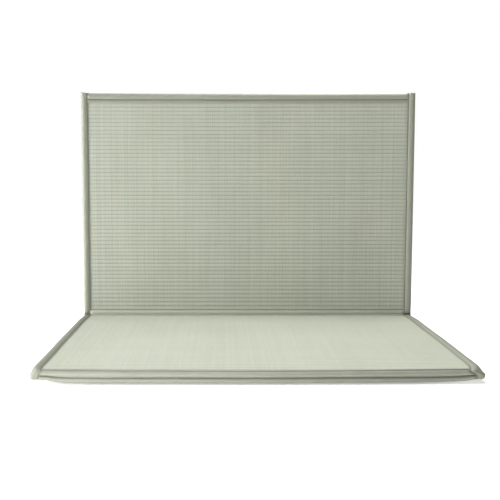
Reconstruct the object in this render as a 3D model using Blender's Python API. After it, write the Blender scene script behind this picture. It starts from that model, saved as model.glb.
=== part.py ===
"""Folding tatami mat: three padded panels faced with woven rush and bound in cloth tape.

The first panel is folded under the second, rush face down, and the third
stands upright behind the seat. X is the width, +Y runs to the rear, +Z is up.
All sizes below are in millimetres; objects are built in metres.
"""

import math

import bpy

MM = 0.001

# ---------------------------------------------------------------- sizes (mm)
WIDTH = 1000.0  # over both side bindings
HALF_T = 7.1  # half of one panel's thickness, rush face to backing
LAYER_GAP = 0.4  # between the two folded layers
GAP = 0.3  # between pieces that lie on each other
CLOTH = 1.0  # binding tape, doubled cloth
RUSH = 1.6  # woven rush facing

FOLD_R = HALF_T + LAYER_GAP / 2  # fold line to a panel's mid-plane at the front
FOLD_SQUARE = 3.0  # power of the front fold's outline: 2 is round, more is squarer
CORNER_R = 9.5  # inner rear corner to a panel's mid-plane

PROUD = 1.3  # tape lip above the rush face
PUFF = 2.2  # crown of the padded tape edge above the rush face

SIDE_EDGE = 8.0  # width of the rounded outer part of a side binding
SIDE_PUFF = 16.5  # outer edge to where the puff meets the seam
SIDE_SEAM = 18.0  # outer edge to the seam
SIDE_LIP = 24.0  # outer edge to the lip's free edge
END_SEAM = 22.0  # end binding: outer edge to the seam
END_LIP = 28.5  # end binding: outer edge to the lip's free edge
END_WALL = 1.2  # folded-in end of a side binding
SIDE_OVER = 2.4  # side bindings run this far past the end bindings

RUSH_TUCK = 9.0  # rush hidden under a lip and seam
PRESS_RAMP = 1.6  # width over which the rush steps down under a flush lip

FRONT_LIP = 18.4  # front line to the rush edge of the seat
REAR_LIP = 16.1  # start of the rear bend to the rush edge, both faces
REAR_SEAM = 13.0
INNER_CORNER_Y = 665.3  # rush face of the upright panel
TOP_Z = 693.1  # top of the end binding on the upright panel
LOWER_END_Y = 666.1  # rear end of the folded-under panel

# Rounding of the two front corners in plan: how far the corner is drawn in at
# the front line, and how far back the rounding starts.
CORNERS = {
    # side: (draw_upper, draw_lower, reach_upper, reach_lower)
    "left": (12.0, 19.0, 42.0, 60.0),
    "right": (15.0, 20.0, 44.0, 60.0),
}
CORNER_SPREAD = 100.0  # the draw fades out over this much width

# Front hinge strip: angle from the seam, height over the rush face.
FRONT_STRIP = (
    (0.0, -4.2),
    (5.0, -3.5),
    (10.0, -1.9),
    (16.0, 0.0),
    (24.0, 1.4),
    (34.0, 2.0),
    (48.0, 2.1),
    (60.0, 1.9),
    (70.0, 1.4),
    (77.0, 1.25),
    (81.0, PROUD),
    (90.0, PROUD),
)
# Rear hinge strip inside the bend: angle from the seam, height.
REAR_BEND = ((0.0, -4.4), (10.0, -3.2), (22.0, -0.9), (34.0, 0.6), (45.0, 1.3))
# and beyond the bend: distance, height.
REAR_FLAT = ((2.5, 1.8), (6.0, 2.0), (10.0, 1.6), (REAR_SEAM, 1.2), (14.0, PROUD))

# ------------------------------------------------------------- derived sizes
LOW_Z = HALF_T
FOLD_Z = HALF_T + FOLD_R
SEAT_Z = FOLD_Z + FOLD_R
FOLD_Y = FOLD_R + HALF_T + PUFF
BEND_Y = INNER_CORNER_Y - (CORNER_R - HALF_T)
BEND_Z = SEAT_Z + CORNER_R
BACK_Y = BEND_Y + CORNER_R + HALF_T

LEN_LOWER = LOWER_END_Y - FOLD_Y
LEN_FOLD = math.pi * FOLD_R
LEN_SEAT = BEND_Y - FOLD_Y
LEN_BEND = 0.5 * math.pi * CORNER_R
LEN_UP = TOP_Z - BEND_Z
S_FOLD = LEN_LOWER
S_SEAT = S_FOLD + LEN_FOLD
S_BEND = S_SEAT + LEN_SEAT
S_UP = S_BEND + LEN_BEND
S_TOP = S_UP + LEN_UP


def fold_angle(s):
    """Angle of a station in the front fold, -90 at the lower panel, 90 at the seat."""
    return -90.0 + 180.0 * (s - S_FOLD) / LEN_FOLD


def s_fold(angle):
    return S_FOLD + LEN_FOLD * (angle + 90.0) / 180.0


def s_bend(angle):
    return S_BEND + LEN_BEND * angle / 90.0


def s_lower(y):
    return LOWER_END_Y - y


def s_seat(y):
    return S_SEAT + y - FOLD_Y


def place(s, n):
    """(y, z) of the point n above the panels' mid-plane at station s."""
    if s <= S_FOLD:
        return LOWER_END_Y - s, LOW_Z - n
    if s <= S_SEAT:
        a = math.radians(fold_angle(s))
        c, d = math.cos(a), math.sin(a)
        q = (abs(c) ** FOLD_SQUARE + abs(d) ** FOLD_SQUARE) ** (-1.0 / FOLD_SQUARE)
        r = (FOLD_R + n) * q
        return FOLD_Y - r * c, FOLD_Z + r * d
    if s <= S_BEND:
        return FOLD_Y + (s - S_SEAT), SEAT_Z + n
    if s <= S_UP:
        a = math.radians(90.0 * (s - S_BEND) / LEN_BEND)
        r = CORNER_R - n
        return BEND_Y + r * math.sin(a), BEND_Z - r * math.cos(a)
    return BEND_Y + CORNER_R - n, BEND_Z + (s - S_UP)


def ease(t):
    t = min(1.0, max(0.0, t))
    return t * t * (3.0 - 2.0 * t)


def drawn_in(x, y, z):
    """x after the front corners are rounded in plan."""
    upper, lower, reach_u, reach_l = CORNERS["left" if x < 0 else "right"]
    k = ease((z - LOW_Z) / (SEAT_Z - LOW_Z))
    draw = lower + (upper - lower) * k
    reach = reach_l + (reach_u - reach_l) * k
    pull = draw * max(0.0, 1.0 - y / reach) ** 2.2
    edge = max(0.0, 1.0 - (WIDTH / 2 - abs(x)) / CORNER_SPREAD)
    return x - math.copysign(pull * edge, x)


def world(x, s, n):
    y, z = place(s, n)
    return (drawn_in(x, y, z) * MM, (y - BACK_Y / 2) * MM, z * MM)


def proud(s):
    """1 where the tape stands above the rush, 0 where the floor presses it flush."""
    if s <= S_FOLD:
        return 0.0
    if s <= S_SEAT:
        return ease((fold_angle(s) + 70.0) / 60.0)
    if S_BEND < s < S_UP:
        return 1.0 - 0.45 * math.sin(math.pi * (s - S_BEND) / LEN_BEND)
    return 1.0


def lift(s):
    """How far the backing keeps off the fold line inside the front fold."""
    if S_FOLD < s < S_SEAT:
        return 2.4 * math.cos(math.radians(fold_angle(s)))
    return 0.0


def lookup(table, at):
    for (a, p), (b, q) in zip(table, table[1:]):
        if at <= b:
            return p + (q - p) * max(0.0, at - a) / (b - a)
    return table[-1][1]


def strip_rise(s):
    """Height of a hinge strip's outer face over the rush face."""
    if s <= S_SEAT + 30.0:
        if s < S_FOLD or s > S_SEAT:
            return PROUD * proud(s)
        a = fold_angle(s)
        rise = lookup(FRONT_STRIP, abs(a))
        if a < 0:  # the floor presses the lower half
            rise = rise * ease((a + 75.0) / 50.0) if rise > 0 else rise
        return rise
    if s < S_BEND:
        return lookup(((0.0, REAR_BEND[-1][1]),) + REAR_FLAT, S_BEND - s)
    if s > S_UP:
        return lookup(((0.0, REAR_BEND[-1][1]),) + REAR_FLAT, s - S_UP)
    return lookup(REAR_BEND, abs(90.0 * (s - S_BEND) / LEN_BEND - 45.0))


def strip_face(s, inside):
    """n of the hinge strip's face, this far inside its outer face along the normal."""
    n = HALF_T + strip_rise(s)
    step = 0.15
    y0, z0 = place(s - step, HALF_T + strip_rise(s - step))
    y1, z1 = place(s + step, HALF_T + strip_rise(s + step))
    ya, za = place(s - step, n)
    yb, zb = place(s + step, n)
    along = math.hypot(yb - ya, zb - za)
    rise = strip_rise(s + step) - strip_rise(s - step)
    slope = rise / max(along, 1e-6)
    return n - inside * min(math.sqrt(1.0 + slope * slope), 2.2)


# ------------------------------------------------------------- mesh building
def material(name, colour, roughness):
    m = bpy.data.materials.new(name)
    m.use_nodes = True
    b = m.node_tree.nodes["Principled BSDF"]
    b.inputs["Base Color"].default_value = (*colour, 1.0)
    b.inputs["Roughness"].default_value = roughness
    b.inputs["Metallic"].default_value = 0.0
    m.diffuse_color = (*colour, 1.0)
    return m


def add_object(name, verts, faces, mat, smooth=True):
    me = bpy.data.meshes.new(name)
    me.from_pydata(verts, [], faces)
    me.validate()
    me.update()
    for p in me.polygons:
        p.use_smooth = smooth
    me.materials.append(mat)
    ob = bpy.data.objects.new(name, me)
    bpy.context.scene.collection.objects.link(ob)
    return ob


def slab(name, columns, rows, top, bottom, mat):
    """Closed solid over a grid of columns (x) and rows (s), between top(x, s) and bottom(x, s)."""
    verts, faces = [], []
    nx, ns = len(columns), len(rows)
    for face in (top, bottom):
        for s in rows:
            for x in columns:
                verts.append(world(x, s, face(x, s)))
    low = nx * ns

    def t(i, j):
        return j * nx + i

    for j in range(ns - 1):
        for i in range(nx - 1):
            a, b, c, d = t(i, j), t(i + 1, j), t(i + 1, j + 1), t(i, j + 1)
            faces.append((a, d, c, b))
            faces.append((low + a, low + b, low + c, low + d))
    for i in range(nx - 1):
        a, b = t(i, 0), t(i + 1, 0)
        faces.append((a, b, low + b, low + a))
        a, b = t(i, ns - 1), t(i + 1, ns - 1)
        faces.append((b, a, low + a, low + b))
    for j in range(ns - 1):
        a, b = t(0, j), t(0, j + 1)
        faces.append((b, a, low + a, low + b))
        a, b = t(nx - 1, j), t(nx - 1, j + 1)
        faces.append((a, b, low + b, low + a))
    return turned_out(add_object(name, verts, faces, mat))


def turned_out(ob):
    """Faces outward: the grid's winding turns with the direction in which it is laid."""
    me = ob.data
    me.calc_loop_triangles()
    volume = 0.0
    for tri in me.loop_triangles:
        a, b, c = (me.vertices[i].co for i in tri.vertices)
        volume += a.dot(b.cross(c))
    if volume < 0:
        me.flip_normals()
    return ob


# ------------------------------------------------------------- the sections
def edge_curve(width, front, back, inset, steps):
    """Rounded outer edge of a binding: (distance in from the outer edge, n), front crown to back crown."""
    points = []
    for i in range(2 * steps + 1):
        a = math.radians(90.0 - 90.0 * i / steps)
        rise = (front if a > 0 else back) - inset
        points.append((width - (width - inset) * math.cos(a), rise * math.sin(a)))
    return points


def side_section(s, inset):
    """Side binding's face, from the front lip round the edge to the back lip."""
    p, b = proud(s), HALF_T - lift(s)
    lip = HALF_T + PROUD * p - inset
    crown = HALF_T + PUFF * p
    seam = 0.35 if inset == 0.0 else 0.0
    front = [
        (SIDE_LIP, lip),
        (SIDE_SEAM + 1.4, lip),
        (SIDE_SEAM, lip - seam * p),
        (SIDE_PUFF, lip + 0.1 * p),
        (12.5, lip + 0.75 * (crown - HALF_T - PROUD * p)),
    ]
    back = [
        (12.5, -b + inset),
        (SIDE_SEAM, -b + inset + 0.2 * (inset == 0.0)),
        (SIDE_LIP, -b + inset),
    ]
    return front + edge_curve(SIDE_EDGE, crown, b, inset, 5) + back


def side_binding(name, sign, mat):
    stations = [0.0, 300.0]
    stations += [s_lower(y) for y in (60.0, 50.0, 41.0, 33.0, 26.0, 21.0)]
    stations += [s_fold(a) for a in range(-90, 91, 15)]
    stations += [s_seat(y) for y in (21.0, 26.0, 33.0, 41.0, 50.0, 350.0)]
    stations += [s_bend(a) for a in range(0, 91, 15)]
    stations += [S_UP + 330.0]
    first, last = -SIDE_OVER, S_TOP + SIDE_OVER
    inner_s = [first + END_WALL] + stations[1:] + [last - END_WALL]
    verts, faces = [], []
    rings_out, rings_in = [], []

    def ring(s, inset):
        start = len(verts)
        for u, n in side_section(min(max(s, 0.0), S_TOP), inset):
            verts.append(world(sign * (WIDTH / 2 - u), s, n))
        return list(range(start, len(verts)))

    for s in inner_s:
        rings_out.append(ring(s, 0.0))
        rings_in.append(ring(s, CLOTH))
    start, end = ring(first, 0.0), ring(last, 0.0)
    for rings in (rings_out, rings_in):
        for a, b in zip(rings, rings[1:]):
            for i in range(len(a) - 1):
                quad = (a[i], a[i + 1], b[i + 1], b[i])
                faces.append(quad if rings is rings_out else quad[::-1])
    for a, b in zip(rings_out, rings_out[1:]):
        k = rings_out.index(a)
        c, d = rings_in[k], rings_in[k + 1]
        faces.append((a[0], b[0], d[0], c[0]))
        faces.append((b[-1], a[-1], c[-1], d[-1]))
    # The folded-in ends: a wall over the padding's corner.
    for cap, out, inn, way in (
        (start, rings_out[0], rings_in[0], 1),
        (end, rings_out[-1], rings_in[-1], -1),
    ):
        for i in range(len(cap) - 1):
            faces.append((cap[i], cap[i + 1], out[i + 1], out[i])[::way])
        faces.append(tuple(cap)[::-way])
        faces.append(tuple(inn)[::way])
        faces.append((cap[0], out[0], inn[0], inn[-1], out[-1], cap[-1])[::way])
    return turned_out(add_object(name, verts, faces, mat))


def end_section(p, inset):
    """End binding's face as (distance in from the end, n), front lip to back lip."""
    lip = HALF_T + PROUD * p - inset
    crown = HALF_T + PUFF * p
    seam = 0.35 if inset == 0.0 else 0.0
    front = [
        (END_LIP, lip),
        (END_SEAM + 1.4, lip),
        (END_SEAM, lip - seam * p),
        (END_SEAM - 1.8, lip + 0.1 * p),
        (13.0, lip + 0.75 * (crown - HALF_T - PROUD * p)),
    ]
    back = [
        (13.0, -HALF_T + inset),
        (END_SEAM, -HALF_T + inset + 0.2 * (inset == 0.0)),
        (END_LIP, -HALF_T + inset),
    ]
    return front + edge_curve(SIDE_EDGE, crown, HALF_T, inset, 5) + back


def bar(name, out, inn, mat):
    """Closed bar between two faces, lists of (s, n), run between the two side lips."""
    reach = WIDTH / 2 - SIDE_LIP - GAP
    loop = out + inn[::-1]
    k, m = len(loop), len(out)
    verts = [world(-reach, s, n) for s, n in loop]
    verts += [world(reach, s, n) for s, n in loop]
    faces = [(i, (i + 1) % k, k + (i + 1) % k, k + i) for i in range(k)]
    for i in range(m - 1):
        quad = (i, i + 1, k - 2 - i, k - 1 - i)
        faces.append(quad[::-1])
        faces.append(tuple(k + v for v in quad))
    return turned_out(add_object(name, verts, faces, mat))


def end_binding(name, at, way, p, mat):
    """at is the station of the end, way is 1 where the panel lies at higher stations."""
    out = [(at + way * v, n) for v, n in end_section(p, 0.0)]
    inn = [(at + way * v, n) for v, n in end_section(p, CLOTH)]
    return bar(name, out, inn, mat)


def hinge_strip(name, stations, mat):
    out = [(s, strip_face(s, 0.0)) for s in stations]
    inn = [(s, strip_face(s, CLOTH)) for s in stations]
    return bar(name, out, inn, mat)


# ------------------------------------------------------------- the facings
EDGE_IN = WIDTH / 2 - (SIDE_LIP - RUSH_TUCK)
LIP_IN = WIDTH / 2 - (SIDE_LIP + 2 * GAP)
OPEN_IN = LIP_IN - PRESS_RAMP


def pressed(x, s, lips):
    """How far a flush tape presses the rush down here; lips are the stations of its two lips."""
    if s > S_FOLD + LEN_FOLD / 2:
        return 0.0
    across = min(1.0, max(0.0, (abs(x) - OPEN_IN) / (LIP_IN - OPEN_IN)))
    near = min(s - lips[0], lips[1] - s)
    along = min(1.0, max(0.0, (2 * GAP + PRESS_RAMP - near) / PRESS_RAMP))
    return PROUD * max(across, along)


def lip_rows(lips):
    near = (2 * GAP, 2 * GAP + PRESS_RAMP)
    return [lips[0] + d for d in near] + [lips[1] - d for d in near]


def columns_of(halves):
    return sorted({-h for h in halves} | set(halves))


def rush_sheet(name, ends, lips, extra, mat):
    rows = sorted(set(ends) | set(lip_rows(lips)) | set(extra))
    return slab(
        name,
        columns_of((EDGE_IN, LIP_IN, OPEN_IN)),
        rows,
        lambda x, s: HALF_T - pressed(x, s, lips),
        lambda x, s: HALF_T - RUSH - pressed(x, s, lips),
        mat,
    )


# ------------------------------------------------------------- the panels
PAD_IN = CLOTH + 0.4  # padding to the binding's outer face
PAD_OUT = 1.9  # outermost face of the padding to the binding's outer face
PAD_COLUMNS = [WIDTH / 2 - u for u in (PAD_OUT, 3.0, 5.0, SIDE_EDGE, 12.5, 14.1, 14.7)]
PAD_COLUMNS += [LIP_IN, OPEN_IN]
END_ROWS = (PAD_OUT, 3.0, 5.0, SIDE_EDGE, 13.0)
STEP_ROWS = (0.35, 0.8)  # the padding's step up beside the rush's end


def pad_edge(distance):
    """Share of the full height at the padding's rounded edge, this far inside the binding's outer face."""
    if distance >= SIDE_EDGE:
        return 1.0
    t = (SIDE_EDGE - distance) / (SIDE_EDGE - PAD_IN)
    return math.sqrt(1.0 - min(t, 0.965) ** 2)


def crown(distance, p):
    """Padding height under a binding's puff."""
    n = HALF_T + PUFF * p - PAD_IN
    return n - max(0.0, distance - SIDE_EDGE) * 0.16 * p


def panel(name, rows, ends, lips, bound_end, mat):
    """Padding in its backing cloth. ends: stations of the rush's ends. bound_end: the station of the end binding, or None."""

    def from_end(s):
        return 999.0 if bound_end is None else abs(s - bound_end)

    def top(x, s):
        u = WIDTH / 2 - abs(x)
        base = HALF_T - RUSH - GAP
        if ends[0] - 0.4 <= s <= ends[1] + 0.4:
            centre = base - pressed(x, s, lips)
        elif from_end(s) < END_LIP:
            centre = crown(from_end(s), proud(s))
        else:
            centre = strip_face(s, PAD_IN)
        if u < 14.6:
            n = crown(u, proud(s)) * pad_edge(u)
        elif u < SIDE_LIP + 2 * GAP + 0.1:
            n = min(base - PROUD * (1.0 - proud(s)), centre)
        else:
            n = centre
        if S_BEND < s < S_UP:
            off = abs(90.0 * (s - S_BEND) / LEN_BEND - 45.0) / 45.0
            n = min(n, CORNER_R - 6.0 * (1.0 - off))
        return n * pad_edge(from_end(s))

    def bottom(x, s):
        u = WIDTH / 2 - abs(x)
        under = u < SIDE_LIP + 2 * GAP + 0.1 or from_end(s) < END_LIP + 2 * GAP + 0.1
        n = -HALF_T + lift(s) + (PAD_IN if under else 0.0)
        return n * pad_edge(u) * pad_edge(from_end(s))

    return slab(name, columns_of(PAD_COLUMNS), sorted(set(rows)), top, bottom, mat)


# ------------------------------------------------------------- the whole mat
def build():
    for ob in list(bpy.data.objects):
        bpy.data.objects.remove(ob, do_unlink=True)

    rush = material("woven_rush", (0.47, 0.49, 0.38), 0.62)
    tape = material("binding_cloth", (0.33, 0.35, 0.26), 0.42)
    back = material("backing_cloth", (0.50, 0.52, 0.44), 0.85)

    low_lips = (END_LIP, s_lower(FRONT_LIP))
    seat_lips = (s_seat(FRONT_LIP), S_BEND - REAR_LIP)
    up_lips = (S_UP + REAR_LIP, S_TOP - END_LIP)
    low_ends = (END_LIP - RUSH_TUCK, s_fold(-84.0))
    seat_ends = (s_fold(82.0), S_BEND - 14.2)
    up_ends = (S_UP + 14.2, S_TOP - END_LIP + RUSH_TUCK)
    corner_low = [s_lower(y) for y in (60.0, 50.0, 41.0, 33.0, 26.0)]
    corner_seat = [s_seat(y) for y in (26.0, 33.0, 41.0)]

    rush_sheet("rush_lower", low_ends, low_lips, corner_low + [S_FOLD], rush)
    rush_sheet("rush_seat", seat_ends, seat_lips, corner_seat + [S_SEAT], rush)
    rush_sheet("rush_upright", up_ends, up_lips, [], rush)

    def stepped(ends):
        return [ends[0] - d for d in STEP_ROWS] + [ends[1] + d for d in STEP_ROWS]

    rows = list(END_ROWS) + [END_LIP + 2 * GAP] + stepped(low_ends) + list(low_ends)
    rows += lip_rows(low_lips) + corner_low + [S_FOLD]
    rows += [s_fold(-a) for a in (4.0, 10.0, 16.0, 24.0, 34.0, 48.0, 60.0, 70.0)]
    panel("panel_lower", rows, low_ends, low_lips, 0.0, back)

    rows = [s_fold(a) for a in (4.0, 10.0, 16.0, 24.0, 34.0, 48.0, 60.0, 70.0)]
    rows += stepped(seat_ends) + list(seat_ends) + [S_SEAT] + corner_seat
    rows += [S_BEND - d for d in (10.0, 6.0, 2.5, 0.0)]
    rows += [s_bend(a) for a in (11.0, 23.0, 35.0, 43.0)]
    panel("panel_seat", rows, seat_ends, seat_lips, None, back)

    rows = [s_bend(a) for a in (47.0, 55.0, 67.0, 79.0, 90.0)]
    rows += [S_UP + d for d in (2.5, 6.0, 10.0)]
    rows += stepped(up_ends) + list(up_ends) + [S_TOP - END_LIP - 2 * GAP]
    rows += [S_TOP - v for v in END_ROWS]
    panel("panel_upright", rows, up_ends, up_lips, S_TOP, back)

    side_binding("binding_left", -1, tape)
    side_binding("binding_right", 1, tape)
    end_binding("binding_top", S_TOP, -1, 1.0, tape)
    end_binding("binding_lower_end", 0.0, 1, 0.0, tape)

    angles = [a for a, _ in FRONT_STRIP]
    stations = [low_lips[1], low_lips[1] + 0.8 * (S_FOLD - low_lips[1])]
    stations += [s_fold(-a) for a in angles[::-1]] + [s_fold(a) for a in angles[1:]]
    stations += [seat_lips[0]]
    hinge_strip("hinge_front", stations, tape)

    stations = [S_BEND - REAR_LIP] + [S_BEND - d for d, _ in REAR_FLAT[::-1]]
    stations += [s_bend(45.0 - a) for a, _ in REAR_BEND[::-1]]
    stations += [s_bend(45.0 + a) for a, _ in REAR_BEND[1:]]
    stations += [S_UP + d for d, _ in REAR_FLAT] + [S_UP + REAR_LIP]
    hinge_strip("hinge_rear", stations, tape)


build()
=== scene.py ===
"""Looks of the folding tatami mat: woven rush facings, padded cloth tapes and
backing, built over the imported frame. Sizes are in millimetres until a mesh is made."""

import math

import bpy
import numpy as np
from mathutils import Euler, Matrix, Vector

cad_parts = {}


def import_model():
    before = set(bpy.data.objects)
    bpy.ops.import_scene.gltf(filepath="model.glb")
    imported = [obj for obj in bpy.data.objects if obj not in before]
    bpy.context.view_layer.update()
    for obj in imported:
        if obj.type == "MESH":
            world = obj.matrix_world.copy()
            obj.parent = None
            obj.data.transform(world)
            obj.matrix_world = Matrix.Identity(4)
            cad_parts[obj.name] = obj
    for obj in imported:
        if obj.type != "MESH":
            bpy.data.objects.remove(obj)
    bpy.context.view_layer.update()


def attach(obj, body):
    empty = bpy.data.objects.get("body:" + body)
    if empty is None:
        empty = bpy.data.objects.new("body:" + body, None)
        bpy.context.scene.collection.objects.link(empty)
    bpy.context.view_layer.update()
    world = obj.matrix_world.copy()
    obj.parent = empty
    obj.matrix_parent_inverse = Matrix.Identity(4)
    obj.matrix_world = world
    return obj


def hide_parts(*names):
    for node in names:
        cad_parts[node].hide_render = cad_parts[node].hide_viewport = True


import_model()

# ---------------------------------------------------------------- sizes (mm)
WIDTH = 1000.0
HALF_T = 7.1
LAYER_GAP = 0.4
FOLD_R = HALF_T + LAYER_GAP / 2
FOLD_SQUARE = 3.0
CORNER_R = 9.5
PROUD = 1.3
PUFF = 2.2
SIDE_EDGE = 8.0
SIDE_LIP = 24.0
END_SEAM = 18.9
END_LIP = 28.5
SIDE_OVER = 2.4
TOP_OVER = 4.2
CLOTH = 0.9
FRONT_LIP = 16.9
REAR_LIP = 16.1
INNER_CORNER_Y = 665.3
TOP_Z = 693.1
LOWER_END_Y = 666.1
# how far each front corner is drawn in above and below, and over what depth
CORNERS = {-1: (13.5, 3.8, 46.0, 42.0), 1: (17.0, 1.0, 54.0, 50.0)}
CORNER_LIFT = {-1: (7.0, 40.0, 18.0), 1: (5.6, 28.0, 24.0)}  # height, start, fall
CORNER_SPREAD = 100.0

ROW = 11.46  # one row of the weave, between two warp lines
STRAND = 1.27  # one rush strand

LOW_Z = HALF_T
FOLD_Z = HALF_T + FOLD_R
SEAT_Z = FOLD_Z + FOLD_R
FOLD_Y = FOLD_R + HALF_T + PUFF
BEND_Y = INNER_CORNER_Y - (CORNER_R - HALF_T)
BEND_Z = SEAT_Z + CORNER_R
BACK_Y = BEND_Y + CORNER_R + HALF_T
LEN_FOLD = math.pi * FOLD_R
LEN_BEND = 0.5 * math.pi * CORNER_R
S_FOLD = LOWER_END_Y - FOLD_Y
S_SEAT = S_FOLD + LEN_FOLD
S_BEND = S_SEAT + BEND_Y - FOLD_Y
S_UP = S_BEND + LEN_BEND
S_TOP = S_UP + TOP_Z - BEND_Z


def s_fold(angle):
    return S_FOLD + LEN_FOLD * (np.asarray(angle, float) + 90.0) / 180.0


def s_seat(y):
    return S_SEAT + y - FOLD_Y


def s_lower(y):
    return LOWER_END_Y - y


def fold_angle(s):
    return -90.0 + 180.0 * (np.asarray(s, float) - S_FOLD) / LEN_FOLD


def bend_angle(s):
    return 90.0 * (np.asarray(s, float) - S_BEND) / LEN_BEND


def ease(t):
    t = np.clip(t, 0.0, 1.0)
    return t * t * (3.0 - 2.0 * t)


# where the side tapes are sewn and where their lips end, from the mat's edge: each side's
# (lower panel, seat, upright) in turn
SEAMS = {-1: (19.0, 20.4, 20.2), 1: (19.0, 24.0, 21.6)}
LIPS = {-1: (22.4, 23.6, 23.4), 1: (22.4, 27.4, 24.6)}


def along_side(values, s):
    """One value a panel, changing over at the fold and the bend."""
    low, seat, up = values
    at_fold = ease((fold_angle(s) + 40.0) / 110.0)
    at_bend = ease((s - S_BEND + 25.0) / 60.0)
    return low + (seat - low) * at_fold + (up - seat) * at_bend


def lip_at(x, s):
    return np.where(x < 0, along_side(LIPS[-1], s), along_side(LIPS[1], s))


# ---------------------------------------------------------------- seeded noise
def cell(i, j, seed):
    h = (i * 374761393 + j * 668265263 + seed * 1442695041) & 0xFFFFFFFF
    h = ((h ^ (h >> 13)) * 1274126177) & 0xFFFFFFFF
    return ((h ^ (h >> 16)) & 0xFFFF) / 32767.5 - 1.0


def noise(u, v, seed):
    """Smooth noise from -1 to 1 on cells one unit wide."""
    u, v = np.broadcast_arrays(np.asarray(u, float), np.asarray(v, float))
    i, j = np.floor(u).astype(np.int64), np.floor(v).astype(np.int64)
    a, b = ease(u - i), ease(v - j)
    i, j = i + 4096, j + 4096
    low = cell(i, j, seed) * (1 - a) + cell(i + 1, j, seed) * a
    high = cell(i, j + 1, seed) * (1 - a) + cell(i + 1, j + 1, seed) * a
    return low * (1 - b) + high * b


# ---------------------------------------------------------------- placing
def place(s, n):
    s, n = np.broadcast_arrays(np.asarray(s, float), np.asarray(n, float))
    a = np.radians(fold_angle(s))
    c, d = np.cos(a), np.sin(a)
    q = (np.abs(c) ** FOLD_SQUARE + np.abs(d) ** FOLD_SQUARE) ** (-1.0 / FOLD_SQUARE)
    r = (FOLD_R + n) * q
    b = np.radians(bend_angle(s))
    t = CORNER_R - n
    parts = [s <= S_FOLD, s <= S_SEAT, s <= S_BEND, s <= S_UP]
    y = np.select(
        parts,
        [LOWER_END_Y - s, FOLD_Y - r * c, FOLD_Y + s - S_SEAT, BEND_Y + t * np.sin(b)],
        BEND_Y + CORNER_R - n,
    )
    z = np.select(
        parts,
        [LOW_Z - n, FOLD_Z + r * d, SEAT_Z + n, BEND_Z - t * np.cos(b)],
        BEND_Z + s - S_UP,
    )
    return y, z


def drawn_in(x, y, z):
    k = ease((z - 16.0) / 13.0)
    out = x.copy()
    for side, (upper, lower, reach_u, reach_l) in CORNERS.items():
        draw = lower + (upper - lower) * k
        reach = reach_l + (reach_u - reach_l) * k
        pull = draw * np.maximum(0.0, 1.0 - y / reach) ** 2.2
        edge = np.maximum(0.0, 1.0 - (WIDTH / 2 - np.abs(x)) / CORNER_SPREAD)
        out = np.where(x * side > 0, x - side * pull * edge, out)
    return out


def lifted(x, y, z):
    """The front corners of the lower layer hang from the seat's, clear of the floor."""
    d = WIDTH / 2 - np.abs(x)
    rise = np.zeros_like(x)
    for side, (high, start, fall) in CORNER_LIFT.items():
        amount = high * np.exp(-np.maximum(d - start, 0.0) / fall)
        rise = np.where(x * side > 0, amount, rise)
    back = 1.0 - ease((y - 10.0) / 130.0)
    return z + rise * back * np.clip(1.0 - z / 29.0, 0.0, 1.0)


def settle(x, y, z):
    """The slight unevenness of the whole mat: the upright's top sags in the middle and its face waves a little."""
    up = ease((z - 60.0) / 500.0)
    high = np.clip((z - 31.0) / (TOP_Z - 31.0), 0.0, 1.1)
    across = x / (WIDTH / 2)
    z = z - 1.3 * up * (1.0 - across**2) * high
    y = y + up * (0.9 * noise(x / 240.0 + 3.3, z / 260.0, 11) - 0.9)
    # the seat's stack is a little thicker on the left, and soft between its edges
    on_seat = ease((z - 16.0) / 10.0) * (1.0 - ease((z - 40.0) / 30.0))
    # the front fold doesn't run quite square: its right half lies a little further back
    skew = 2.0 + 11.0 * ease((x + 60.0) / 640.0)
    near = 1.0 - ease((y - 10.0) / 420.0)
    sink = 0.9 + 0.5 * across + 2.2 * (1.0 - across**2)
    z = z - sink * np.clip(z / 29.0, 0.0, 1.0) * (1.0 - ease((y - 5.0) / 90.0))
    y = y + skew * near
    x = x * (1.0 - 0.0026 * on_seat * (1.0 - ease((y - 600.0) / 60.0)))
    inner = ease((y - 24.0) / 60.0) * (1.0 - ease((y - 560.0) / 90.0))
    z = z + on_seat * inner * (0.55 * noise(x / 170.0, y / 150.0, 5) - 0.4)
    z = z + on_seat * 0.5 * ease((-x - 200.0) / 300.0)
    # the padding is thinner towards the sewn bend at the rear
    dip = ease((y - 560.0) / 95.0) * (1.0 - ease((z - 42.0) / 90.0))
    z = z - 4.4 * dip * np.clip(z / 28.0, 0.0, 1.0)
    return x, y, z


def world(x, s, n):
    """Points in metres from the width, the station along the mat and the height over its mid-plane."""
    y, z = place(s, n)
    x = np.broadcast_to(np.asarray(x, float), y.shape)
    x = drawn_in(x, y, z)
    z = lifted(x, y, z)
    x, y, z = settle(x, y, z)
    return np.stack([x, y - BACK_Y / 2, z], -1) * 0.001


def proud(s):
    a = fold_angle(s)
    bend = 1.0 - 0.62 * np.exp(-(((bend_angle(s) - 45.0) / 52.0) ** 2))
    return np.where(
        s <= S_FOLD, 0.0, np.where(s <= S_SEAT, ease((a + 70.0) / 60.0), bend)
    )


def lift(s):
    return np.where(
        (s > S_FOLD) & (s < S_SEAT),
        2.4 * np.cos(np.radians(np.clip(fold_angle(s), -90, 90))),
        0.0,
    )


def back_proud(s):
    """1 on the upright's back, where nothing presses the tape flush."""
    return ease((s - S_BEND - 2.0) / 22.0)


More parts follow.
